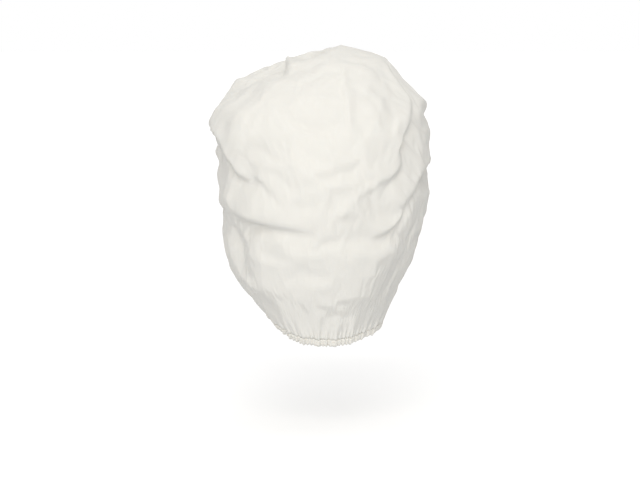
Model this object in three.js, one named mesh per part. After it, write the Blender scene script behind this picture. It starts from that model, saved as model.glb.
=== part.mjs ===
// A disposable hair cover cap as it is worn: a round sheet of non-woven fabric, slack over the crown,
// gathered onto an elastic hem that runs over the brow, past the cheeks and round the nape.
// Sizes are in millimetres. The origin is the topmost point of the head inside the cap, +Z is up,
// the wearer's face looks along +Y and the back of the cap faces -Y.
// Angles go round the head in degrees: 0 is the back, 90 the +X side, 180 the face, -90 the -X side.
// Levels go up the cap: 0 is the hem and 1 the top.
import * as THREE from "three";

// Overall sizes of the worn cap, without its folds.
const CAP_WIDTH = 181;
const BACK_REACH = 110;
const FRONT_REACH = 99;
const CROWN_RISE = 12.5;
const NAPE_DROP = 229;
const CHEEK_DROP = 213;
const BROW_DROP = 72;

// The fabric wall, and the elastic hem that closes its edge.
const WALL = 1.2;
const HEM_HEIGHT = 6;
const HEM_THICKNESS = 3.2;
const HEM_CLEARANCE = 0.3;

// The gathers that the elastic draws up, and the size that the folds below are shares of.
const GATHER_COUNT = 24;
const GATHER_DEPTH = 2.2;
const GATHER_LENGTH = 60;
const FOLD_DEPTH = 6.5;
const FOLD_SPREAD = 26;

// How finely the surface is divided. Rows lie closer together across the middle, where the folds are.
const COLUMNS_PER_GATHER = 4;
const ROWS = 28;
const ROW_CROWDING = 0.3;
const PATH_STEPS = 4;

// Forms that are plain ratios: how much wider than an even arch the hem runs across the brow, which
// dies away towards the top, how crisp a fold's lip is, how deep and how wide the hollow under it is
// next to the lip, and the share of the levels over which the folds die away towards the top.
const BROW_BREADTH = 0.7;
const LIP_CRISPNESS = 1.7;
const HOLLOW_DEPTH = 0.4;
const HOLLOW_WIDTH = 2.6;
const TOP_FADE = 0.06;

const HALF_WIDTH = CAP_WIDTH / 2;
const COLUMNS = GATHER_COUNT * COLUMNS_PER_GATHER;

// Sections of the cap without its folds. Reaches are shares of BACK_REACH, FRONT_REACH and half of
// CAP_WIDTH; falls are shares of the whole height on that side; cheek is how far the front quarters
// stand out past an ellipse, and shift how far the section sits towards +X, both of half CAP_WIDTH.
const SECTION_COLUMNS = [
  "at", "back", "backFall", "right", "rightFall", "front", "frontFall", "left", "leftFall", "cheek", "shift",
];
const SECTIONS = [
  [0.0, 0.473, 1.0, 0.552, 1.031, 0.889, 1.0, 0.547, 0.965, 0.31, 0],
  [0.06, 0.545, 0.93, 0.635, 0.965, 0.939, 0.905, 0.669, 0.907, 0.29, 0],
  [0.16, 0.723, 0.814, 0.755, 0.849, 0.99, 0.734, 0.82, 0.794, 0.2, 0],
  [0.28, 0.873, 0.673, 0.89, 0.703, 0.985, 0.515, 0.88, 0.636, 0.13, 0],
  [0.4, 0.95, 0.516, 0.995, 0.554, 0.899, 0.325, 0.885, 0.479, 0.1, 0],
  [0.5, 0.97, 0.387, 0.975, 0.428, 0.79, 0.217, 0.935, 0.348, 0.07, 0],
  [0.6, 0.9, 0.265, 1.0, 0.302, 0.65, 0.15, 0.92, 0.25, 0.04, 0],
  [0.7, 0.76, 0.16, 0.87, 0.19, 0.5, 0.115, 0.73, 0.16, 0.01, 0.02],
  [0.8, 0.54, 0.085, 0.615, 0.096, 0.313, 0.08, 0.48, 0.105, 0, 0.08],
  [0.9, 0.28, 0.03, 0.32, 0.03, 0.157, 0.035, 0.27, 0.06, 0, 0.14],
  [1.0, 0, 0, 0, 0, 0, 0, 0, 0, 0, 0.19],
];

// Folds of the slack fabric. Each follows a path of angles and levels, and its depths are spaced
// evenly along that path: shares of FOLD_DEPTH, below zero for a hollow. The fabric swells out on the
// upper side of the path and hangs over its lower side; above and below are the widths of the two
// sides, as shares of FOLD_SPREAD. On a path that climbs, the upper side is the one towards -X.
const FOLDS = [
  {
    name: "crown_lip", above: 1.3, below: 0.35, depths: [0, 0.8, 1.2, 1, 0.6, 0.15, 0],
    angles: [-145, -116, -87, -72, -60, -53, -47, -40, -32, -20, -6],
    levels: [0.6, 0.59, 0.58, 0.563, 0.54, 0.5, 0.46, 0.459, 0.455, 0.425, 0.417],
  },
  {
    name: "crown_lip_middle", above: 0.9, below: 0.3, depths: [0, 0.25, 0.3, 0.3, 0.5, 0],
    angles: [-16, -2, 12, 22, 27, 35, 43, 50],
    levels: [0.475, 0.493, 0.51, 0.522, 0.484, 0.484, 0.497, 0.51],
  },
  {
    name: "crown_edge_right", above: 0.7, below: 0.3, depths: [0, 0.6, 0.9, 0.9, 0.8, 0.7, 0],
    angles: [45, 42, 40, 41, 45, 51, 57, 56, 57, 66, 78],
    levels: [0.495, 0.523, 0.548, 0.575, 0.605, 0.648, 0.69, 0.73, 0.79, 0.85, 0.88],
  },
  {
    name: "band_lip", above: 1.1, below: 0.3, depths: [0, 0.6, 1.1, 0.75, 0.2, 0.2, 0.6, 1.2, 0],
    angles: [-120, -92, -68, -57, -45, -36, -28, -13, 0, 12, 20, 28, 36, 42, 47, 53, 60, 69, 84, 105],
    levels: [
      0.34, 0.325, 0.33, 0.34, 0.355, 0.357, 0.353, 0.355, 0.35, 0.348,
      0.362, 0.377, 0.39, 0.398, 0.423, 0.448, 0.49, 0.515, 0.53, 0.54,
    ],
  },
  {
    name: "band_pleat_right", above: 0.7, below: 0.3, depths: [0, 0.4, 0.4, 0],
    angles: [16, 22, 28, 34, 44],
    levels: [0.42, 0.445, 0.463, 0.479, 0.5],
  },
  {
    name: "shoulder_lip_right", above: 0.8, below: 0.4, depths: [0, 0.9, 0.7, 0],
    angles: [66, 84, 104, 126],
    levels: [0.69, 0.69, 0.67, 0.64],
  },
  {
    name: "top_step_left", above: 1.2, below: 0.25, depths: [0, 1.2, 1.1, 0],
    angles: [-140, -110, -74, -46],
    levels: [0.81, 0.835, 0.832, 0.78],
  },
  {
    name: "crown_valley", above: 0.5, below: 0.4, depths: [0, -0.3, -0.3, 0],
    angles: [-26, -16, -8, 0, 7, 14, 24],
    levels: [0.635, 0.618, 0.603, 0.598, 0.588, 0.573, 0.565],
  },
  {
    name: "low_hollow_left", above: 0.8, below: 0.8, depths: [0, -0.5, -0.5, 0],
    angles: [-70, -62, -54, -46],
    levels: [0.3, 0.255, 0.205, 0.15],
  },
  {
    name: "low_hollow_right", above: 0.8, below: 0.8, depths: [0, -0.4, -0.4, 0],
    angles: [66, 62, 58, 54],
    levels: [0.4, 0.32, 0.22, 0.12],
  },
  {
    name: "side_fold_right", above: 0.7, below: 0.5, depths: [0, 0.3, 0.6, 0],
    angles: [98, 105, 114, 126],
    levels: [0.62, 0.55, 0.48, 0.42],
  },
  {
    name: "side_fold_left", above: 0.7, below: 0.5, depths: [0, 0.5, 0.6, 0],
    angles: [-84, -96, -110, -122],
    levels: [0.56, 0.5, 0.42, 0.34],
  },
  {
    name: "brow_lip", above: 1.1, below: 0.5, depths: [0, 0.6, 0.9, 0.6, 0],
    angles: [125, 155, 185, 215, 235],
    levels: [0.42, 0.37, 0.34, 0.36, 0.4],
  },
  {
    name: "forelock_lip", above: 1.6, below: 0.8, depths: [0, 0.4, 0.5, 0],
    angles: [100, 150, 190, 240],
    levels: [0.56, 0.6, 0.63, 0.6],
  },
  {
    name: "cheek_lip_right", above: 1, below: 0.45, depths: [0, 0.6, 0.5, 0],
    angles: [88, 112, 140, 164],
    levels: [0.36, 0.3, 0.27, 0.26],
  },
  {
    name: "cheek_lip_left", above: 1, below: 0.45, depths: [0, 0.6, 0.5, 0],
    angles: [-166, -138, -112, -92],
    levels: [0.22, 0.24, 0.22, 0.2],
  },
  {
    name: "temple_lip_left", above: 1, below: 0.45, depths: [0, 0.5, 0],
    angles: [-158, -130, -100],
    levels: [0.46, 0.43, 0.44],
  },
  {
    name: "front_fold_right", above: 0.7, below: 0.5, depths: [0, 0.6, 0.5, 0],
    angles: [118, 134, 148, 158],
    levels: [0.7, 0.58, 0.5, 0.42],
  },
  {
    name: "front_fold_left", above: 0.7, below: 0.5, depths: [0, 0.6, 0.6, 0],
    angles: [-112, -128, -144, -158],
    levels: [0.72, 0.62, 0.54, 0.46],
  },
  {
    name: "top_fold_right", above: 0.6, below: 0.5, depths: [0, 0.5, 0.5, 0],
    angles: [70, 96, 120, 146],
    levels: [0.82, 0.85, 0.83, 0.8],
  },
];

// The outline of the hem's cross-section, down its inner side and up its outer side: down is a share
// of HEM_HEIGHT and out a share of half HEM_THICKNESS.
const HEM_PROFILE = [
  { down: 0, out: -0.5 },
  { down: 0.5, out: -1 },
  { down: 1, out: -0.6 },
  { down: 1, out: 0.6 },
  { down: 0.5, out: 1 },
  { down: 0, out: 0.5 },
];

const toRadians = (degrees) => (degrees * Math.PI) / 180;
const clamped = (share) => Math.min(1, Math.max(0, share));
const smooth = (share) => clamped(share) ** 2 * (3 - 2 * clamped(share));
const evenPlaces = (count) => Array.from({ length: count }, (_, i) => i / (count - 1));

// A smooth curve through values at rising places, read at one place.
function curveThrough(places, values, place) {
  const last = places.length - 1;
  let k = 0;
  while (k < last - 1 && place > places[k + 1]) k += 1;
  const slope = (i) => {
    const lower = Math.max(0, i - 1);
    const upper = Math.min(last, i + 1);
    return (values[upper] - values[lower]) / (places[upper] - places[lower]);
  };
  const span = places[k + 1] - places[k];
  const t = (place - places[k]) / span;
  const bend = span * (slope(k) * t * (1 - t) ** 2 - slope(k + 1) * t ** 2 * (1 - t));
  return values[k] * (1 - smooth(t)) + values[k + 1] * smooth(t) + bend;
}

const sectionValues = Object.fromEntries(
  SECTION_COLUMNS.map((name, column) => [name, SECTIONS.map((section) => section[column])]),
);
const sectionAt = (name, level) => curveThrough(sectionValues.at, sectionValues[name], level);

// A point of the cap's outside without its folds: quarter ellipses between the four sides.
function plainPoint(angle, level) {
  const side = Math.sin(toRadians(angle));
  const end = Math.cos(toRadians(angle));
  const sideName = side >= 0 ? "right" : "left";
  const atBack = end >= 0;
  const endName = atBack ? "back" : "front";
  const endReach = atBack ? BACK_REACH : FRONT_REACH;
  const endHeight = CROWN_RISE + (atBack ? NAPE_DROP : BROW_DROP);
  const breadth = atBack ? 0 : BROW_BREADTH * (1 - level) * (1 - end ** 2);
  const endWeight = end ** 2 * (1 + breadth);
  const cheek = atBack ? 0 : sectionAt("cheek", level) * Math.sin(toRadians(2 * angle)) ** 2;
  const sideways = side * sectionAt(sideName, level) + Math.sign(side) * cheek + sectionAt("shift", level);
  const endFall = endWeight * sectionAt(endName + "Fall", level) * endHeight;
  const sideFall = (1 - endWeight) * sectionAt(sideName + "Fall", level) * (CROWN_RISE + CHEEK_DROP);
  return new THREE.Vector3(
    sideways * HALF_WIDTH,
    -end * sectionAt(endName, level) * endReach,
    CROWN_RISE - endFall - sideFall,
  );
}

// The outward direction of the cap without its folds.
function plainNormal(angle, level) {
  const levelStep = 0.01;
  const upper = plainPoint(angle, Math.min(1, level + levelStep));
  const up = upper.sub(plainPoint(angle, Math.max(0, level - levelStep)));
  const round = plainPoint(angle + 1, level).sub(plainPoint(angle - 1, level));
  return round.cross(up).normalize();
}

// The length from the hem to the top along the outside at one angle.
function riseLength(angle) {
  const steps = 24;
  let length = 0;
  for (let i = 0; i < steps; i += 1) {
    length += plainPoint(angle, i / steps).distanceTo(plainPoint(angle, (i + 1) / steps));
  }
  return length;
}

// A fold's path as short straight pieces, each with its start, its run and the way to its upper side.
function foldPieces(fold) {
  const places = evenPlaces(fold.angles.length);
  const steps = (fold.angles.length - 1) * PATH_STEPS;
  const route = evenPlaces(steps + 1).map((share) => ({
    angle: curveThrough(places, fold.angles, share),
    level: curveThrough(places, fold.levels, share),
  }));
  const points = route.map(({ angle, level }) => plainPoint(angle, level));
  return route.slice(1).map((_, i) => {
    const run = points[i + 1].clone().sub(points[i]);
    const middleAngle = (route[i].angle + route[i + 1].angle) / 2;
    const middleLevel = (route[i].level + route[i + 1].level) / 2;
    const normal = plainNormal(middleAngle, middleLevel);
    return { start: points[i], run, upward: normal.cross(run), lengthSquared: run.lengthSq() };
  });
}

const foldPaths = FOLDS.map((fold) => ({ ...fold, pieces: foldPieces(fold) }));

// The distance of a point from a fold's path, positive on its upper side, and how far along it lies.
function nearestOnPath(pieces, point) {
  const away = new THREE.Vector3();
  const nearest = { distance: Infinity, along: 0 };
  pieces.forEach(({ start, run, upward, lengthSquared }, i) => {
    away.copy(point).sub(start);
    const share = clamped(away.dot(run) / lengthSquared);
    away.addScaledVector(run, -share);
    const distance = away.length();
    if (distance >= Math.abs(nearest.distance)) return;
    nearest.distance = away.dot(upward) < 0 ? -distance : distance;
    nearest.along = (i + share) / pieces.length;
  });
  return nearest;
}

// The cross-section of a hanging lip: it swells out from above, drops off sharply and leaves a
// hollow under it. It is 1 on the lip itself.
function lip(distance, above, below) {
  if (distance >= 0) return Math.exp(-((distance / above) ** LIP_CRISPNESS));
  const under = (distance / below) ** 2;
  return Math.exp(-under) - HOLLOW_DEPTH * (1 - Math.exp(-under)) * Math.exp(-under / HOLLOW_WIDTH ** 2);
}

function foldOut(fold, point) {
  const { distance, along } = nearestOnPath(fold.pieces, point);
  const depth = curveThrough(evenPlaces(fold.depths.length), fold.depths, along);
  return depth * FOLD_DEPTH * lip(distance, fold.above * FOLD_SPREAD, fold.below * FOLD_SPREAD);
}

const columnAngle = (column) => (360 * column) / COLUMNS;

function rowLevel(row) {
  const share = row / ROWS;
  return share + (ROW_CROWDING * Math.sin(2 * Math.PI * share)) / (2 * Math.PI);
}

// A point of the outside with its folds and gathers.
function outsidePoint(angle, level, length) {
  const point = plainPoint(angle, level);
  const folds = foldPaths.reduce((out, fold) => out + foldOut(fold, point), 0);
  const gather = Math.cos(toRadians(angle * GATHER_COUNT)) * smooth(1 - (level * length) / GATHER_LENGTH);
  const out = folds * smooth((1 - level) / TOP_FADE) + (GATHER_DEPTH / 2) * gather;
  return point.addScaledVector(plainNormal(angle, level), out);
}

// The outside as rows of points from the hem to just under the top.
function outsideRows() {
  const angles = Array.from({ length: COLUMNS }, (_, column) => columnAngle(column));
  const lengths = angles.map(riseLength);
  return Array.from({ length: ROWS }, (_, row) =>
    angles.map((angle, column) => outsidePoint(angle, rowLevel(row), lengths[column])),
  );
}

// Outward directions at each point of a set of rows that close on a top point.
function rowNormals(rows, top) {
  return rows.map((row, r) =>
    row.map((_, c) => {
      const above = r + 1 < rows.length ? rows[r + 1][c] : top;
      const below = rows[Math.max(0, r - 1)][c];
      const next = row[(c + 1) % row.length];
      const previous = row[(c + row.length - 1) % row.length];
      return next.clone().sub(previous).cross(above.clone().sub(below)).normalize();
    }),
  );
}

function meshGeometry(points, faces) {
  const geometry = new THREE.BufferGeometry();
  const positions = points.flatMap((point) => point.toArray());
  geometry.setAttribute("position", new THREE.Float32BufferAttribute(positions, 3));
  geometry.setIndex(faces);
  geometry.computeVertexNormals();
  return geometry;
}

// The sheet: an outside and an inside surface, each closed by a fan at the top, joined at the hem.
function sheetGeometry(outside, inside, top) {
  const round = outside[0].length;
  const within = outside.length * round;
  const lastRow = within - round;
  const outerTop = 2 * within;
  const innerTop = outerTop + 1;
  const topUnderside = top.clone().setZ(top.z - WALL);
  const points = [...outside.flat(), ...inside.flat(), top, topUnderside];
  const faces = [];
  const quad = (a, b, c, d) => faces.push(a, b, c, a, c, d);
  for (let c = 0; c < round; c += 1) {
    const d = (c + 1) % round;
    for (let low = 0; low < lastRow; low += round) {
      const high = low + round;
      quad(low + c, low + d, high + d, high + c);
      quad(within + low + d, within + low + c, within + high + c, within + high + d);
    }
    faces.push(lastRow + c, lastRow + d, outerTop);
    faces.push(within + lastRow + d, within + lastRow + c, innerTop);
    quad(d, c, within + c, within + d);
  }
  return meshGeometry(points, faces);
}

// The hem follows the sheet's edge: a band that bulges on both faces, square to the edge's own run.
function hemGeometry(outside, inside) {
  const rings = HEM_PROFILE.map(({ down, out }) =>
    outside[0].map((edge, c) => {
      const angle = columnAngle(c);
      const outward = plainNormal(angle, 0);
      const run = plainPoint(angle + 1, 0).sub(plainPoint(angle - 1, 0)).normalize();
      const away = run.cross(outward);
      const middle = edge.clone().add(inside[0][c]).multiplyScalar(0.5);
      middle.addScaledVector(away, HEM_CLEARANCE + down * HEM_HEIGHT);
      return middle.addScaledVector(outward, (out * HEM_THICKNESS) / 2);
    }),
  );
  const round = rings[0].length;
  const faces = [];
  rings.forEach((_, r) => {
    const next = (r + 1) % rings.length;
    for (let c = 0; c < round; c += 1) {
      const d = (c + 1) % round;
      faces.push(r * round + c, r * round + d, next * round + d);
      faces.push(r * round + c, next * round + d, next * round + c);
    }
  });
  return meshGeometry(rings.flat(), faces);
}

function namedMesh(name, geometry, material) {
  const mesh = new THREE.Mesh(geometry, material);
  mesh.name = name;
  return mesh;
}

const fabric = new THREE.MeshStandardMaterial({ color: 0xf3f1ea, roughness: 0.95, metalness: 0 });
const hemFabric = new THREE.MeshStandardMaterial({ color: 0xeeece5, roughness: 0.95, metalness: 0 });

const top = plainPoint(0, 1);
const outside = outsideRows();
const normals = rowNormals(outside, top);
const inside = outside.map((row, r) =>
  row.map((point, c) => point.clone().addScaledVector(normals[r][c], -WALL)),
);

const cap = new THREE.Group();
cap.add(namedMesh("crown_sheet", sheetGeometry(outside, inside, top), fabric));
cap.add(namedMesh("elastic_hem", hemGeometry(outside, inside), hemFabric));

export default cap;
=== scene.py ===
# The looks of a disposable hair cover cap of thin white non-woven fabric, seen from behind as it is worn.
# Everything is in metres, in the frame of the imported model: the origin is the topmost point of the head
# inside the cap, +Z is up, the back of the cap faces -Y.
# Angles go round the head in degrees: 0 is the back, 90 the +X side, 180 the face, -90 the -X side.
# Levels go up the cap: 0 is the hem and 1 the top.
from math import pi, radians, tan

import bpy
import numpy as np
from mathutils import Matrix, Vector, noise


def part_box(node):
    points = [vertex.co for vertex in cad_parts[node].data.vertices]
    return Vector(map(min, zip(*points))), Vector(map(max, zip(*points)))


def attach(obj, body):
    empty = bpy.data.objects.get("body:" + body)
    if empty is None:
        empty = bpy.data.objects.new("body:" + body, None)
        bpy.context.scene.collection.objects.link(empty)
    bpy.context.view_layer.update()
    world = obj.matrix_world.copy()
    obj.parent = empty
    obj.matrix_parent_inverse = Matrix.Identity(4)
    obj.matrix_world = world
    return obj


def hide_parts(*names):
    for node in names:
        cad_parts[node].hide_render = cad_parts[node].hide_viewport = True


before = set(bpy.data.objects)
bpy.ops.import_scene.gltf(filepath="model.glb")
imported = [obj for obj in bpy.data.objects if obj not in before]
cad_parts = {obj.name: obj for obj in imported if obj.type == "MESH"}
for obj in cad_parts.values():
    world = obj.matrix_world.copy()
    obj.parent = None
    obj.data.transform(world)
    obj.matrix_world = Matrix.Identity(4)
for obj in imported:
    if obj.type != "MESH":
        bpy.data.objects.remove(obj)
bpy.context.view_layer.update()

# Overall sizes of the cap without its folds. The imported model's box takes in its folds, and the fabric
# rises a little as it buckles, so three of the sizes are shares of that box. The cheek hem's drop is a
# share of the nape's.
SHEET_LOW, SHEET_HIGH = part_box("crown_sheet")
WIDTH_SHARE = 0.985
BACK_SHARE = 1.015
CROWN_SHARE = 0.89
CHEEK_SHARE = 0.93
HALF_WIDTH = WIDTH_SHARE * (SHEET_HIGH[0] - SHEET_LOW[0]) / 2
BACK_REACH = -BACK_SHARE * SHEET_LOW[1]
FRONT_REACH = SHEET_HIGH[1]
CROWN_RISE = CROWN_SHARE * SHEET_HIGH[2]
NAPE_DROP = -SHEET_LOW[2]
CHEEK_DROP = CHEEK_SHARE * NAPE_DROP
BROW_DROP = -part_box("elastic_hem")[1][2]

# The fabric and the round cut that it is made from.
FABRIC_THICKNESS = 0.0004
CUT_DIAMETER = 0.457

# The elastic hem. Its height is a little uneven along the edge, and its puckers are shallower at the
# stitches than at the fold. Each pucker wave has a share, a count round the hem, and how far and how
# often it wanders. The last two are counts of points along the edge: how far apart its direction is read,
# and how far the uneven height lags behind the puckers.
HEM_HEIGHT = 0.006
HEM_THICKNESS = 0.0022
HEM_PUCKER = 0.0005
HEM_UNEVENNESS = 0.08
STITCH_PUCKER_SHARE = 0.4
HEM_WAVES = ((0.55, 110, 2, 5), (0.45, 163, 3, 3))
EDGE_REACH = 3
HEIGHT_LAG = 2

# The outline of the hem's cross-section, down its outer side and up its inner side: shares of
# HEM_HEIGHT and of half HEM_THICKNESS. The waist near the top is the line of stitches.
HEM_PROFILE = (
    (-0.1, 0.3), (0.12, 0.8), (0.24, 0.55), (0.4, 0.9), (0.62, 1.0), (0.84, 0.8), (1.0, 0.25),
    (1.0, -0.25), (0.84, -0.8), (0.62, -1.0), (0.4, -0.9), (0.24, -0.55), (0.12, -0.8), (-0.1, -0.3),
)

# Folds: the depth and spread that their shares are of, and how finely a fold's path is divided between
# two listed points.
FOLD_DEPTH = 0.0065
FOLD_SPREAD = 0.026
PATH_STEPS = 6

# Gathers that the elastic draws up: how far they run up from the hem, how their places wander round it
# (reach, count and start of each wave), and the wide, middle and fine ones.
GATHER_LENGTH = 0.06
GATHER_WANDER = ((0.5, 3, 0.7), (0.35, 7, 2.1), (0.2, 13, 0))
GATHER_COLUMNS = ("depth", "count", "wander", "start", "even", "uneven", "swells", "swell_start", "length")
GATHERS = (
    (0.0006, 24, 1.6, 0, 0.75, 0.25, 5, 1, 1.0),
    (0.0005, 47, 2.4, 0.4, 0.7, 0.3, 9, 0, 0.4),
    (0.0005, 96, 3.1, 0, 1.0, 0, 0, 0, 0.2),
)

# How finely the sheet is divided along each side of the square that is bent into a round one.
GRID = 220

# Plain ratios: the breadth of the brow, how softly a fold starts, the hollow under a hanging lip, the
# levels over which folds die away at the top and lips stop sagging at the hem, and how far a lip sags,
# over which share of FOLD_SPREAD.
BROW_BREADTH = 0.7
CREASE_SOFTNESS = 1.35
HOLLOW_DEPTH = 0.35
HOLLOW_WIDTH = 2.6
TOP_FADE = 0.06
HEM_FADE = 0.08
LIP_SAG = 0.5
LIP_REACH = 0.35

# The length from the hem to the top is measured at these angles, over this many levels.
LENGTH_ANGLES = np.arange(-180.0, 181.0, 5.0)
LENGTH_LEVELS = 25

# Crumple: layers of flat facets, each with its reach outwards, its size and its seed. Slack fabric has
# the slanted and the fine layers, and fabric that the elastic draws tight has the upright ones. They
# change over within SLACK_HEIGHT of the hem, and the crumple is less at the hem and over the top.
SLANTED_FACETS = ((0.0024, 0.044, 1), (0.0016, 0.021, 2))
FINE_FACETS = ((0.0006, 0.010, 3),)
UPRIGHT_FACETS = ((0.0014, 0.028, 5), (0.0005, 0.012, 6))
FACET_SLANT = np.array(((0.8, 0.0, 0.25), (0.0, 0.8, 0.1), (-0.3, 0.0, 1.3)))
UPRIGHT_SQUEEZE = np.array((1.0, 1.0, 0.45))
SLACK_HEIGHT = 0.11
HEM_CRUMPLE = 0.25
TOP_CRUMPLE = 0.3
TOP_CALM = 0.25

# How far the facets wander from an even pattern, over how many facets, and the step between the seeds
# of the three directions. Each seed moves the smooth noise along by SEED_SHIFT, and NOISE_GAIN brings it
# to about -1 to 1.
FACET_WARP = 0.45
WARP_SCALE = 2.2
WARP_SEED_STEP = 11
SEED_SHIFT = (7.31, 3.17, 5.93)
NOISE_GAIN = 1.6

# Large odd numbers that mix a facet corner's place and the seed into a fixed random value.
CORNER_MIX = np.array((73856093, 19349663, 83492791))
SEED_MIX = 2654435761
FIRST_MIX = 1274126177
SECOND_MIX = 668265263

# The fabric is let buckle under its own spare length, which makes its natural wrinkles: the share of
# spare length, how firmly each point is held near its place, the level up to which the hem's firm hold
# fades out, how far a point may move, the steps taken, and how the fabric resists. It runs on a draft of
# the sheet with half as many rows.
SPARE_LENGTH = 0.019
HOLD = 0.02
HEM_HOLD_LEVEL = 0.16
FARTHEST_MOVE = 0.005
BUCKLE_STEPS = 14
RESISTANCE = {
    "quality": 8, "mass": 0.1, "air_damping": 5, "tension_stiffness": 15, "compression_stiffness": 15,
    "shear_stiffness": 5, "bending_stiffness": 0.02, "bending_damping": 0.5, "pin_stiffness": 1,
}

# The colours, and the surface of the fabric, drawn on the flat cut: a cloudy tint between two shades,
# the pressed bond points and the fibres, the last two as relief. The names are inputs of the nodes.
FABRIC_COLOUR = (0.775, 0.76, 0.715)
HEM_COLOUR = (0.765, 0.75, 0.705)
FABRIC_SURFACE = {
    "Roughness": 0.85, "Specular IOR Level": 0.25, "Sheen Weight": 0.12, "Subsurface Weight": 0.2,
    "Subsurface Radius": (1.0, 0.9, 0.8), "Subsurface Scale": 0.002,
}
CLOUDS = {"Scale": 90, "Detail": 6}
CLOUD_SPAN = (0.35, 0.65)
CLOUD_SHADE = 0.985
BONDS = {"Scale": 800, "Randomness": 0.12}
BOND_RELIEF = {"Strength": 0.35, "Distance": 0.0002}
FIBRES = {"Scale": 1500, "Detail": 4, "Distortion": 1.5}
FIBRE_RELIEF = {"Strength": 0.25, "Distance": 0.0001}

# Camera and floor, as the photograph was taken.
CAMERA_DISTANCE = 1.6
CAMERA_ELEVATION = 6.0
CAMERA_AIM = Vector((0.0, 0.0, -0.1486))
FRAME_WIDTH = 0.5312
SENSOR_WIDTH = 36.0
FLOOR_LEVEL = -0.305
FLOOR_SIZE = 80
FLOOR_SURFACE = {
    "Base Color": (0.95, 0.95, 0.95, 1), "Emission Color": (1, 1, 1, 1), "Emission Strength": 0.2,
    "Roughness": 1.0, "Specular IOR Level": 0.0,
}

# Light: how bright the surroundings are by direction, as the sine of the height above the horizon, and
# the key light.
WORLD_BANDS = ((-0.25, 0.93), (-0.12, 1.0), (0.03, 1.0), (0.12, 0.15), (0.35, 0.15), (0.7, 0.95))
KEY_POWER = 1.75
KEY_SOFTNESS = 48
KEY_COLOUR = (1.0, 0.975, 0.93)
KEY_FROM = (-0.08, -1.0, 0.5)

# Sections of the cap from the hem to the top, without its folds. "at" is the level. The four sides reach
# out by shares of BACK_REACH, HALF_WIDTH and FRONT_REACH, and each fall is how far that side is below the
# top, as a share of its whole height. "cheek" widens the front quarters, and "shift" moves the section
# towards +X, both as shares of HALF_WIDTH.
SECTION_COLUMNS = (
    "at", "back", "back_fall", "right", "right_fall", "front", "front_fall", "left", "left_fall", "cheek",
    "shift",
)
SECTIONS = np.array((
    (0.0, 0.485, 0.983, 0.552, 1.014, 0.889, 1.0, 0.547, 0.94, 0.31, 0),
    (0.06, 0.58, 0.917, 0.635, 0.951, 0.939, 0.905, 0.695, 0.888, 0.29, 0),
    (0.16, 0.728, 0.814, 0.755, 0.849, 0.99, 0.734, 0.845, 0.794, 0.2, 0),
    (0.28, 0.873, 0.673, 0.925, 0.703, 0.985, 0.515, 0.865, 0.636, 0.13, 0),
    (0.4, 0.95, 0.516, 1.0, 0.554, 0.899, 0.325, 0.92, 0.479, 0.1, 0),
    (0.5, 0.97, 0.387, 0.975, 0.428, 0.79, 0.217, 0.93, 0.348, 0.07, 0),
    (0.6, 0.9, 0.265, 1.0, 0.302, 0.65, 0.15, 0.92, 0.25, 0.04, 0),
    (0.7, 0.76, 0.16, 0.87, 0.19, 0.5, 0.115, 0.73, 0.16, 0.01, 0.02),
    (0.8, 0.54, 0.085, 0.615, 0.094, 0.313, 0.08, 0.48, 0.096, 0, 0.08),
    (0.9, 0.28, 0.03, 0.32, 0.03, 0.157, 0.035, 0.27, 0.06, 0, 0.14),
    (1.0, 0, 0, 0, 0, 0, 0, 0, 0, 0, 0.19),
))

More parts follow.
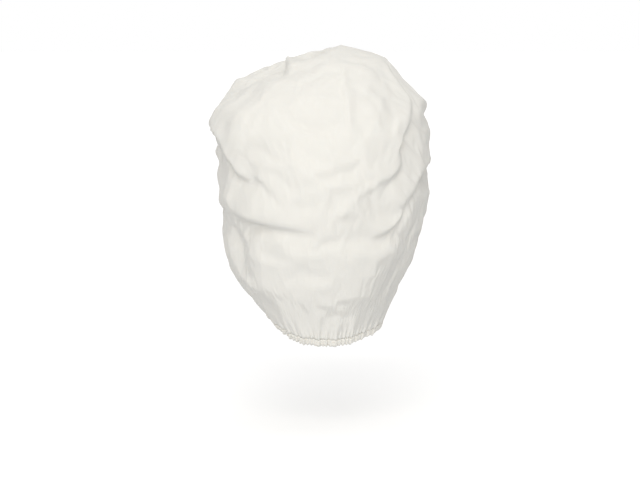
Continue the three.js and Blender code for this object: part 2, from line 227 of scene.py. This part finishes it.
# Folds: name, width of the upper and the lower side as shares of FOLD_SPREAD, depths evenly along the
# path as shares of FOLD_DEPTH, and the path's angles and levels. The fabric swells out above each path
# and hangs over it.
FOLDS = (
    ("crown_lip", 1.5, 0.18, (0, 0.8, 1.3, 1.2, 0.7, 0.15, 0),
     (-145, -116, -87, -72, -60, -53, -47, -40, -32, -20, -6),
     (0.6, 0.59, 0.58, 0.563, 0.54, 0.5, 0.46, 0.459, 0.455, 0.425, 0.417)),
    ("crown_lip_middle", 0.9, 0.16, (0, 0.2, 0.2, 0.2, 0.4, 0),
     (-16, -2, 12, 22, 27, 35, 43, 50), (0.475, 0.493, 0.51, 0.522, 0.484, 0.484, 0.497, 0.51)),
    ("crown_edge_right", 0.6, 0.12, (0, 0.6, 0.9, 0.65, 0.3, 0.4, 0),
     (45, 42, 40, 41, 45, 51, 57, 56, 57, 66, 78),
     (0.495, 0.523, 0.548, 0.575, 0.605, 0.648, 0.69, 0.73, 0.79, 0.85, 0.88)),
    ("band_lip", 1.3, 0.2, (0, 0.35, 1.05, 0.3, 0, 0.1, 0.5, 1.1, 0),
     (-120, -92, -68, -57, -45, -36, -28, -13, 0, 12, 20, 28, 36, 42, 47, 53, 60, 69, 84, 105),
     (0.36, 0.347, 0.342, 0.345, 0.355, 0.357, 0.353, 0.355, 0.35, 0.348, 0.362, 0.377, 0.39, 0.398, 0.423,
      0.448, 0.49, 0.515, 0.53, 0.54)),
    ("band_pleat_right", 0.7, 0.3, (0, 0.4, 0.4, 0), (16, 22, 28, 34, 44),
     (0.42, 0.445, 0.463, 0.479, 0.5)),
    ("diagonal_right", 0.5, 0.14, (0, 0.5, 0.5, 0), (26, 31, 37, 42, 44, 44),
     (0.32, 0.33, 0.343, 0.36, 0.377, 0.4)),
    ("shoulder_lip_right", 0.8, 0.3, (0, 0.9, 0.7, 0), (66, 84, 104, 126), (0.69, 0.69, 0.67, 0.64)),
    ("top_step_left", 0.9, 0.2, (0, 0.8, 1.7, 1.0, 0), (-175, -140, -110, -85, -60, -36),
     (0.77, 0.83, 0.866, 0.868, 0.845, 0.79)),
    ("small_smile", 0.4, 0.08, (0, 0.15, 0.15, 0), (3, 7, 13, 20, 25), (0.441, 0.445, 0.452, 0.46, 0.462)),
    ("low_smile", 0.5, 0.14, (0, 0.2, 0.2, 0), (-3, 1, 5, 9, 13), (0.328, 0.331, 0.333, 0.332, 0.334)),
    ("low_edge_left", 0.35, 0.14, (0, 0.25, 0.25, 0), (-64, -58, -50, -41, -33),
     (0.162, 0.152, 0.145, 0.142, 0.146)),
    ("brow_lip", 1.3, 0.4, (0, 0.6, 0.9, 0.6, 0), (125, 155, 185, 215, 235), (0.42, 0.37, 0.34, 0.36, 0.4)),
    ("forelock_lip", 2.0, 0.6, (0, 0.4, 0.5, 0), (100, 150, 190, 240), (0.56, 0.6, 0.63, 0.6)),
    ("cheek_lip_right", 1.2, 0.3, (0, 0.6, 0.5, 0), (88, 112, 140, 164), (0.36, 0.3, 0.27, 0.26)),
    ("cheek_lip_left", 1.2, 0.3, (0, 0.6, 0.5, 0), (-166, -138, -112, -92), (0.22, 0.24, 0.22, 0.2)),
    ("temple_lip_left", 1.2, 0.3, (0, 0.5, 0), (-158, -130, -100), (0.46, 0.43, 0.44)),
)

# Creases and hollows, listed as the folds are: the fabric rises or falls evenly to them from both sides.
CREASES = (
    ("crown_valley", 0.35, 0.25, (0, -0.2, -0.25, 0), (-26, -16, -8, 0, 7, 14, 24),
     (0.635, 0.618, 0.603, 0.598, 0.588, 0.573, 0.565)),
    ("crown_left_dent", 0.4, 0.3, (0, -0.2, 0), (-44, -34, -24), (0.515, 0.527, 0.535)),
    ("crown_facet_left", 1.0, 1.0, (0, 0.45, 0.5, 0.4, 0), (-40, -40, -43, -43, -42),
     (0.76, 0.68, 0.6, 0.54, 0.48)),
    ("crown_facet_right", 0.9, 0.6, (0, 0.45, 0.45, 0), (36, 33, 30, 31, 35),
     (0.71, 0.67, 0.63, 0.59, 0.53)),
    ("crown_pinch", 0.3, 0.1, (0, 0.22, 0.28, 0.2, 0), (9, 12, 13, 14, 14, 14),
     (0.82, 0.765, 0.717, 0.663, 0.607, 0.56)),
    ("crown_crease_right", 0.25, 0.12, (0, 0.3, 0), (43, 39, 36), (0.64, 0.602, 0.567)),
    ("left_notch", 0.45, 0.45, (0, -0.8, -0.6, 0), (-116, -98, -82, -68), (0.468, 0.465, 0.463, 0.465)),
    ("left_band_edge", 0.4, 0.5, (0, 0.25, 0.25, 0), (-116, -98, -82, -66), (0.412, 0.41, 0.408, 0.41)),
    ("right_notch", 0.5, 0.5, (0, -0.45, -0.45, 0), (66, 80, 96, 110), (0.565, 0.56, 0.56, 0.565)),
    ("left_dent", 0.5, 0.5, (0, -0.5, 0), (-68, -59, -50), (0.6, 0.575, 0.565)),
    ("pleat_middle", 0.2, 0.14, (0, 0.15, 0), (22, 24, 27), (0.53, 0.5, 0.47)),
    ("pleat_left", 0.2, 0.15, (0, 0.2, 0), (-35, -34, -33), (0.475, 0.457, 0.438)),
    ("pleat_band", 0.25, 0.2, (0, 0.35, 0), (9, 12, 17), (0.362, 0.385, 0.402)),
    ("low_facet_left", 1.2, 1.2, (0, 0.6, 0.5, 0), (-36, -35, -35, -34), (0.33, 0.25, 0.17, 0.08)),
    ("low_facet_right", 1.2, 1.2, (0, 0.5, 0.5, 0), (28, 32, 35, 37), (0.33, 0.25, 0.17, 0.08)),
    ("low_hollow_left", 0.8, 0.8, (0, -0.8, -0.7, 0), (-70, -62, -54, -46), (0.3, 0.255, 0.205, 0.15)),
    ("low_hollow_right", 0.9, 0.9, (0, -0.5, -0.4, 0), (66, 62, 58, 54), (0.4, 0.32, 0.22, 0.12)),
    ("side_fold_right", 0.9, 0.5, (0, 0.3, 0.6, 0), (98, 105, 114, 126), (0.62, 0.55, 0.48, 0.42)),
    ("side_fold_left", 0.8, 0.5, (0, 0.5, 0.6, 0), (-84, -96, -110, -122), (0.56, 0.5, 0.42, 0.34)),
    ("front_fold_right", 0.9, 0.6, (0, 0.6, 0.5, 0), (118, 134, 148, 158), (0.7, 0.58, 0.5, 0.42)),
    ("front_fold_left", 0.9, 0.6, (0, 0.6, 0.6, 0), (-112, -128, -144, -158), (0.72, 0.62, 0.54, 0.46)),
    ("top_dent", 0.5, 0.5, (0, -0.6, -0.8, -0.5, 0),
     (-166, -155, -135, -90, -52, -40), (0.79, 0.835, 0.888, 0.918, 0.9, 0.88)),
    ("top_fold_front", 0.7, 0.5, (0, 0.5, 0.1, 0), (158, 172, 186, 202), (0.7, 0.78, 0.82, 0.76)),
    ("top_fold_right", 0.7, 0.5, (0, 0.5, 0.5, 0), (70, 96, 120, 146), (0.82, 0.85, 0.83, 0.8)),
)


def smooth(share):
    share = np.clip(share, 0, 1)
    return share * share * (3 - 2 * share)


def curve_through(places, values, place):
    """A smooth curve through values at rising places, read at many places."""
    places, values = np.asarray(places, float), np.asarray(values, float)
    last = len(places) - 1
    lower = np.maximum(np.arange(last + 1) - 1, 0)
    upper = np.minimum(np.arange(last + 1) + 1, last)
    slopes = (values[upper] - values[lower]) / (places[upper] - places[lower])
    k = np.clip(np.searchsorted(places, place, side="left") - 1, 0, last - 1)
    span = places[k + 1] - places[k]
    t = (place - places[k]) / span
    bend = span * (slopes[k] * t * (1 - t) ** 2 - slopes[k + 1] * t**2 * (1 - t))
    return values[k] * (1 - smooth(t)) + values[k + 1] * smooth(t) + bend


def section_at(name, level):
    return curve_through(SECTIONS[:, 0], SECTIONS[:, SECTION_COLUMNS.index(name)], level)


def plain_points(angle, level):
    """Points of the cap's outside without its folds: quarter ellipses between the four sides."""
    side, end = np.sin(np.radians(angle)), np.cos(np.radians(angle))
    at_back = end >= 0
    side_reach = np.where(side >= 0, section_at("right", level), section_at("left", level))
    side_fall = np.where(side >= 0, section_at("right_fall", level), section_at("left_fall", level))
    back, front = section_at("back", level) * BACK_REACH, section_at("front", level) * FRONT_REACH
    back_fall = section_at("back_fall", level) * (CROWN_RISE + NAPE_DROP)
    front_fall = section_at("front_fall", level) * (CROWN_RISE + BROW_DROP)
    end_weight = end**2 * (1 + np.where(at_back, 0, BROW_BREADTH * (1 - level) * (1 - end**2)))
    cheek = np.where(at_back, 0, section_at("cheek", level) * np.sin(np.radians(2 * angle)) ** 2)
    sideways = side * side_reach + np.sign(side) * cheek + section_at("shift", level)
    fall = end_weight * np.where(at_back, back_fall, front_fall)
    fall = fall + (1 - end_weight) * side_fall * (CROWN_RISE + CHEEK_DROP)
    return np.stack((sideways * HALF_WIDTH, -end * np.where(at_back, back, front), CROWN_RISE - fall), -1)


def unit(vectors):
    return vectors / np.maximum(np.linalg.norm(vectors, axis=-1, keepdims=True), 1e-12)


def plain_normals(angle, level):
    level_step = 0.01
    level = np.minimum(level, 1 - level_step)
    up = plain_points(angle, level + level_step) - plain_points(angle, np.maximum(0, level - level_step))
    around = plain_points(angle + 1, level) - plain_points(angle - 1, level)
    return unit(np.cross(around, up))


def rise_lengths(angle):
    """The length from the hem to the top along the outside at each angle."""
    steps = plain_points(angle[..., None], np.linspace(0, 1, LENGTH_LEVELS))
    return np.linalg.norm(np.diff(steps, axis=-2), axis=-1).sum(-1)


def slope_to(distance, width):
    """An even rise over a width up to 1 at no distance, softened where it starts."""
    return np.clip(1 - np.abs(distance) / width, 0, 1) ** CREASE_SOFTNESS


def lip(distance, above, below):
    """A hanging lip's cross-section: it swells from above, drops sharply and leaves a hollow under it."""
    under = (distance / below) ** 2
    hollow = HOLLOW_DEPTH * (1 - np.exp(-under)) * np.exp(-under / HOLLOW_WIDTH**2)
    return np.where(distance >= 0, slope_to(distance, above), np.exp(-under) - hollow)


def crease(distance, above, below):
    """A crease's cross-section: even slopes of two widths that meet in it."""
    return slope_to(distance, np.where(distance >= 0, above, below))


def add_fold(fold, profile, points, out, sag):
    """Adds one fold's outward move and, if it hangs, its downward move at each point."""
    _, above, below, depths, angles, levels = fold
    places = np.linspace(0, 1, len(angles))
    along_path = np.linspace(0, 1, (len(angles) - 1) * PATH_STEPS + 1)
    path_angle = curve_through(places, angles, along_path)
    path_level = curve_through(places, levels, along_path)
    path = plain_points(path_angle, path_level)
    runs = np.diff(path, axis=0)
    normals = plain_normals((path_angle[1:] + path_angle[:-1]) / 2, (path_level[1:] + path_level[:-1]) / 2)
    upward = unit(np.cross(normals, runs))
    nearest = np.full(len(points), np.inf)
    distance, along = np.zeros(len(points)), np.zeros(len(points))
    way = np.zeros_like(points)
    for i, run in enumerate(runs):
        away = points - path[i]
        share = np.clip(away @ run / (run @ run), 0, 1)
        away -= share[:, None] * run
        length = np.linalg.norm(away, axis=1)
        closer = length < nearest
        nearest[closer] = length[closer]
        distance[closer] = (np.where(away @ upward[i] < 0, -1, 1) * length)[closer]
        along[closer] = ((i + share) / len(runs))[closer]
        way[closer] = upward[i]
    depth = FOLD_DEPTH * curve_through(np.linspace(0, 1, len(depths)), depths, along)
    out += depth * profile(distance, above * FOLD_SPREAD, below * FOLD_SPREAD)
    if profile is lip:
        droop = np.exp(-((distance / (LIP_REACH * FOLD_SPREAD)) ** 2)) * np.maximum(depth, 0)
        sag -= (LIP_SAG * droop)[:, None] * way


def disc_grid(count):
    """A square grid bent into a disc: the angle and the level of each of its points."""
    line = np.linspace(-1, 1, count + 1)
    u, v = np.meshgrid(line, line)
    radius = np.maximum(np.abs(u), np.abs(v))
    wide = np.abs(u) >= np.abs(v)
    with np.errstate(divide="ignore", invalid="ignore"):
        turn = np.where(wide, 45 * v / u, 90 - 45 * u / v)
    turn = np.where(wide & (u < 0) | ~wide & (v < 0), turn + 180, turn)
    turn = np.where(radius < 1e-9, 0, turn)
    angle = (turn + 180) % 360 - 180
    return angle.ravel(), 1 - radius.ravel(), radius.ravel()


def noise_at(points, scale, seed):
    """Smooth noise from about -1 to 1 at each point."""
    shift = Vector([seed * step for step in SEED_SHIFT])
    return np.array([noise.noise(Vector(p) + shift) for p in points / scale]) * NOISE_GAIN


def facet_noise(points, scale, seed):
    """Noise from -1 to 1 made of flat facets that meet in sharp creases, as crumpled fabric has."""
    bent = points / scale
    for axis in range(3):
        warp_seed = seed + WARP_SEED_STEP * (axis + 1)
        bent[:, axis] += FACET_WARP * noise_at(points, WARP_SCALE * scale, warp_seed)
    skewed = bent + bent.sum(-1, keepdims=True) / 3
    cell = np.floor(skewed).astype(np.int64)
    share = skewed - cell
    order = np.argsort(-share, axis=-1)
    ranked = np.take_along_axis(share, order, -1)
    weights = -np.diff(ranked, axis=-1, prepend=1, append=0)
    corner = cell.copy()
    value = weights[:, 0] * lattice_value(corner, seed)
    for step in range(3):
        corner[np.arange(len(corner)), order[:, step]] += 1
        value += weights[:, step + 1] * lattice_value(corner, seed)
    return value


def lattice_value(corner, seed):
    """A fixed random value from -1 to 1 for each whole-number corner."""
    mixed = (corner * CORNER_MIX).sum(-1) + seed * SEED_MIX
    mixed = (mixed ^ (mixed >> 13)) * FIRST_MIX & 0xFFFFFFFF
    mixed = (mixed ^ (mixed >> 16)) * SECOND_MIX & 0xFFFFFFFF
    return (mixed >> 8 & 0xFFFF) / 32767.5 - 1


def facets_out(points, layers):
    return sum(reach * facet_noise(points, size, seed) for reach, size, seed in layers)


def wrinkle_out(level, height, points):
    """Crumple facets, as outward moves: slanted ones in slack fabric, upright ones near the elastic."""
    slack = smooth(height / SLACK_HEIGHT)
    crumple = facets_out(points @ FACET_SLANT, SLANTED_FACETS) + facets_out(points, FINE_FACETS)
    top_share = TOP_CRUMPLE + (1 - TOP_CRUMPLE) * smooth((1 - level) / TOP_CALM)
    crumple *= (HEM_CRUMPLE + (1 - HEM_CRUMPLE) * slack) * top_share
    return crumple + facets_out(points * UPRIGHT_SQUEEZE, UPRIGHT_FACETS) * (1 - slack)


def gather_out(angle, height):
    """Gathers drawn up by the elastic: fine puckers at the hem that merge into wider ones above it."""
    turn = np.radians(angle)
    wandered = sum(reach * np.sin(count * turn + start) for reach, count, start in GATHER_WANDER)
    out = 0
    for row in GATHERS:
        gather = dict(zip(GATHER_COLUMNS, row))
        wave = np.cos(gather["count"] * turn + gather["wander"] * wandered + gather["start"])
        wave *= gather["even"] + gather["uneven"] * np.sin(gather["swells"] * turn + gather["swell_start"])
        out = out + gather["depth"] * wave * smooth(1 - height / (gather["length"] * GATHER_LENGTH))
    return out


def sheet_surface(grid):
    """The outside of the sheet: points, the flat place of each in the round cut, its angle and level."""
    angle, level, radius = disc_grid(grid)
    plain = plain_points(angle, level)
    normals = plain_normals(angle, level)
    height = level * np.interp(angle, LENGTH_ANGLES, rise_lengths(LENGTH_ANGLES))
    out, sag = np.zeros(len(plain)), np.zeros_like(plain)
    for fold in FOLDS:
        add_fold(fold, lip, plain, out, sag)
    for fold in CREASES:
        add_fold(fold, crease, plain, out, sag)
    fade = smooth((1 - level) / TOP_FADE)
    out = out * fade + wrinkle_out(level, height, plain) + gather_out(angle, height)
    points = plain + normals * out[:, None] + sag * (fade * smooth(level / HEM_FADE))[:, None]
    flat = np.stack((np.cos(np.radians(angle)), np.sin(np.radians(angle))), -1)
    flat = flat * (radius * CUT_DIAMETER / 2)[:, None]
    return points, flat, angle, level


def grid_faces(count):
    """The corners of each face of a square grid."""
    side = count + 1
    corner = (np.arange(count)[:, None] * side + np.arange(count)).ravel()
    return np.stack((corner, corner + 1, corner + side + 1, corner + side), -1)


def edge_loop(count):
    """The grid's border, once round."""
    side = count + 1
    first = np.arange(count)
    return np.concatenate((first, first * side + count, side * side - 1 - first, (count - first) * side))


def new_object(name, points, faces, material, flat):
    """A smooth mesh object, with each point's flat place as its texture map."""
    mesh = bpy.data.meshes.new(name)
    mesh.from_pydata(points.tolist(), [], np.asarray(faces).tolist())
    mesh.update()
    mesh.shade_smooth()
    mesh.materials.append(material)
    corners = np.empty(len(mesh.loops), dtype=np.int32)
    mesh.loops.foreach_get("vertex_index", corners)
    mesh.uv_layers.new(name="flat").data.foreach_set("uv", flat[corners].ravel())
    made = bpy.data.objects.new(name, mesh)
    bpy.context.scene.collection.objects.link(made)
    return made


def apply_modifiers(made):
    depsgraph = bpy.context.evaluated_depsgraph_get()
    mesh = bpy.data.meshes.new_from_object(made.evaluated_get(depsgraph))
    made.modifiers.clear()
    made.data = mesh


def set_inputs(node, values):
    for name, value in values.items():
        node.inputs[name].default_value = value
    return node


def add_pattern(tree, kind, values):
    """A pattern node that is read at the flat place in the cut."""
    pattern = set_inputs(tree.nodes.new(kind), values)
    place = tree.nodes.new("ShaderNodeUVMap")
    place.uv_map = "flat"
    tree.links.new(place.outputs["UV"], pattern.inputs["Vector"])
    return pattern


def add_relief(tree, height, values):
    relief = set_inputs(tree.nodes.new("ShaderNodeBump"), values)
    tree.links.new(height, relief.inputs["Height"])
    return relief


def fabric_material(name, colour):
    """White non-woven fabric: a faint cloudy tint, bond points in rows and fine fibres."""
    material = bpy.data.materials.new(name)
    material.use_nodes = True
    tree = material.node_tree
    shader = set_inputs(tree.nodes["Principled BSDF"], FABRIC_SURFACE)
    clouds = add_pattern(tree, "ShaderNodeTexNoise", CLOUDS)
    tint = tree.nodes.new("ShaderNodeValToRGB")
    for stop, place, shade in zip(tint.color_ramp.elements, CLOUD_SPAN, (CLOUD_SHADE, 1)):
        stop.position = place
        stop.color = tuple(part * shade for part in colour) + (1,)
    tree.links.new(clouds.outputs["Fac"], tint.inputs["Fac"])
    tree.links.new(tint.outputs["Color"], shader.inputs["Base Color"])
    bonds = add_pattern(tree, "ShaderNodeTexVoronoi", BONDS)
    fibres = add_pattern(tree, "ShaderNodeTexNoise", FIBRES)
    bond_relief = add_relief(tree, bonds.outputs["Distance"], BOND_RELIEF)
    fibre_relief = add_relief(tree, fibres.outputs["Fac"], FIBRE_RELIEF)
    tree.links.new(bond_relief.outputs["Normal"], fibre_relief.inputs["Normal"])
    tree.links.new(fibre_relief.outputs["Normal"], shader.inputs["Normal"])
    return material


def hold_near(draft, holds):
    """Stores how firmly the simulation holds each point of a draft, and returns the name it has there."""
    group = draft.vertex_groups.new(name="held")
    for index, hold in enumerate(holds):
        group.add((index,), float(hold), "REPLACE")
    return group.name


def buckle_moves(grid):
    """How each point of a grid moves as the fabric buckles under its spare length, without growing."""
    points, _, angle, level = sheet_surface(grid)
    holds = HOLD + (1 - HOLD) * smooth(1 - level / HEM_HOLD_LEVEL)
    mesh = bpy.data.meshes.new("draft")
    mesh.from_pydata(points.tolist(), [], grid_faces(grid).tolist())
    draft = bpy.data.objects.new("draft", mesh)
    scene = bpy.context.scene
    scene.collection.objects.link(draft)
    cloth = draft.modifiers.new("cloth", "CLOTH")
    for name, value in RESISTANCE.items():
        setattr(cloth.settings, name, value)
    cloth.settings.vertex_group_mass = hold_near(draft, holds)
    cloth.settings.shrink_min = cloth.settings.shrink_max = -SPARE_LENGTH
    cloth.settings.effector_weights.gravity = 0
    cloth.collision_settings.use_collision = False
    cloth.point_cache.frame_start, cloth.point_cache.frame_end = 1, BUCKLE_STEPS
    for step in range(1, BUCKLE_STEPS + 1):
        scene.frame_set(step)
    ends = np.empty(points.size)
    draft.evaluated_get(bpy.context.evaluated_depsgraph_get()).data.vertices.foreach_get("co", ends)
    bpy.data.objects.remove(draft)
    scene.frame_set(1)
    moves = ends.reshape(points.shape) - points
    outward = plain_normals(angle, level)
    moves -= outward * ((moves * outward).sum(-1).mean() * (1 - holds))[:, None]
    lengths = np.maximum(np.linalg.norm(moves, axis=-1, keepdims=True), 1e-12)
    return moves * FARTHEST_MOVE * np.tanh(lengths / FARTHEST_MOVE) / lengths


def rows_doubled(rows):
    """Rows of values with a smoothly curved row put in between each two."""
    wide = np.concatenate((rows[:1], rows, rows[-1:]))
    doubled = np.empty((2 * len(rows) - 1,) + rows.shape[1:])
    doubled[::2] = rows
    doubled[1::2] = (9 * (wide[1:-2] + wide[2:-1]) - wide[:-3] - wide[3:]) / 16
    return doubled


def make_sheet(material):
    """The sheet with its buckled wrinkles and a real thickness, and the points and angles of its edge."""
    points, flat, angle, _ = sheet_surface(GRID)
    moves = buckle_moves(GRID // 2).reshape(GRID // 2 + 1, -1, 3)
    points += rows_doubled(rows_doubled(moves).swapaxes(0, 1)).swapaxes(0, 1).reshape(-1, 3)
    made = new_object("crown_fabric", points, grid_faces(GRID), material, flat)
    wall = made.modifiers.new("wall", "SOLIDIFY")
    wall.thickness = FABRIC_THICKNESS
    wall.offset = -1
    apply_modifiers(made)
    loop = edge_loop(GRID)
    return made, points[loop], angle[loop]


def make_hem(edge, angle, material):
    """The sheet's edge folded over the elastic and stitched: a puckered band that follows the edge."""
    count = len(edge)
    run = unit(np.roll(edge, -EDGE_REACH, 0) - np.roll(edge, EDGE_REACH, 0))
    outward = plain_normals(angle, np.zeros(count))
    away = unit(np.cross(run, outward))
    around = np.radians(angle)
    pucker = sum(
        share * np.cos(waves * around + reach * np.sin(turns * around))
        for share, waves, reach, turns in HEM_WAVES
    )
    rings = []
    for down, out in HEM_PROFILE:
        pucker_share = STITCH_PUCKER_SHARE + (1 - STITCH_PUCKER_SHARE) * down
        swell = out * HEM_THICKNESS / 2 + HEM_PUCKER * pucker * pucker_share
        drop = down * HEM_HEIGHT * (1 + HEM_UNEVENNESS * np.roll(pucker, HEIGHT_LAG))
        rings.append(edge + away * drop[:, None] + outward * swell[:, None])
    points = np.concatenate(rings)
    faces = []
    for r in range(len(HEM_PROFILE)):
        low, high = r * count, (r + 1) % len(HEM_PROFILE) * count
        for c in range(count):
            d = (c + 1) % count
            faces.append((low + c, high + c, high + d, low + d))
    flat = np.tile(np.stack((around, np.zeros(count)), -1) * CUT_DIAMETER / 2, (len(HEM_PROFILE), 1))
    flat[:, 1] = np.repeat([down * HEM_HEIGHT for down, _ in HEM_PROFILE], count)
    return new_object("hem_band", points, faces, material, flat)


def make_camera():
    camera = bpy.data.objects.new("camera", bpy.data.cameras.new("camera"))
    bpy.context.scene.collection.objects.link(camera)
    tilt = radians(CAMERA_ELEVATION)
    camera.location = CAMERA_AIM + CAMERA_DISTANCE * Vector((0, -1, tan(tilt))).normalized()
    camera.rotation_euler = (CAMERA_AIM - camera.location).to_track_quat("-Z", "Y").to_euler()
    camera.data.sensor_width = SENSOR_WIDTH
    camera.data.lens = SENSOR_WIDTH * CAMERA_DISTANCE / FRAME_WIDTH
    bpy.context.scene.camera = camera


def make_world():
    """Plain studio surroundings: white at eye level, nearly so below and overhead, dark between."""
    world = bpy.data.worlds.new("studio")
    bpy.context.scene.world = world
    world.use_nodes = True
    nodes, links = world.node_tree.nodes, world.node_tree.links
    direction = nodes.new("ShaderNodeTexCoord")
    height = nodes.new("ShaderNodeSeparateXYZ")
    links.new(direction.outputs["Generated"], height.inputs["Vector"])
    share = nodes.new("ShaderNodeMapRange")
    share.inputs["From Min"].default_value = -1.0
    links.new(height.outputs["Z"], share.inputs["Value"])
    ramp = nodes.new("ShaderNodeValToRGB")
    links.new(share.outputs["Result"], ramp.inputs["Fac"])
    while len(ramp.color_ramp.elements) < len(WORLD_BANDS):
        ramp.color_ramp.elements.new(1.0)
    for stop, (at, level) in zip(ramp.color_ramp.elements, WORLD_BANDS):
        stop.position = (at + 1) / 2
        stop.color = (level, level, level, 1)
    links.new(ramp.outputs["Color"], nodes["Background"].inputs["Color"])
    nodes["Background"].inputs["Strength"].default_value = 1.0


def make_key_light():
    light = bpy.data.objects.new("key", bpy.data.lights.new("key", "SUN"))
    light.data.energy = KEY_POWER
    light.data.color = KEY_COLOUR
    light.data.angle = radians(KEY_SOFTNESS)
    light.rotation_euler = Vector(KEY_FROM).to_track_quat("Z", "Y").to_euler()
    bpy.context.scene.collection.objects.link(light)


def make_floor():
    """A plain pale floor that doesn't light the fabric, so the undercuts of the folds keep their shade."""
    bpy.ops.mesh.primitive_plane_add(size=FLOOR_SIZE, location=(0, 0, FLOOR_LEVEL))
    floor = bpy.context.active_object
    floor.name = "floor"
    surface = bpy.data.materials.new("floor")
    surface.use_nodes = True
    set_inputs(surface.node_tree.nodes["Principled BSDF"], FLOOR_SURFACE)
    floor.data.materials.append(surface)
    floor.visible_diffuse = False
    bpy.context.scene.view_settings.view_transform = "Standard"


make_camera()
make_world()
make_key_light()
make_floor()
sheet, edge, edge_angle = make_sheet(fabric_material("nonwoven", FABRIC_COLOUR))
hem = make_hem(edge, edge_angle, fabric_material("nonwoven_hem", HEM_COLOUR))
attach(sheet, "root")
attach(hem, "root")
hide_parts("crown_sheet")
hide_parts("elastic_hem")
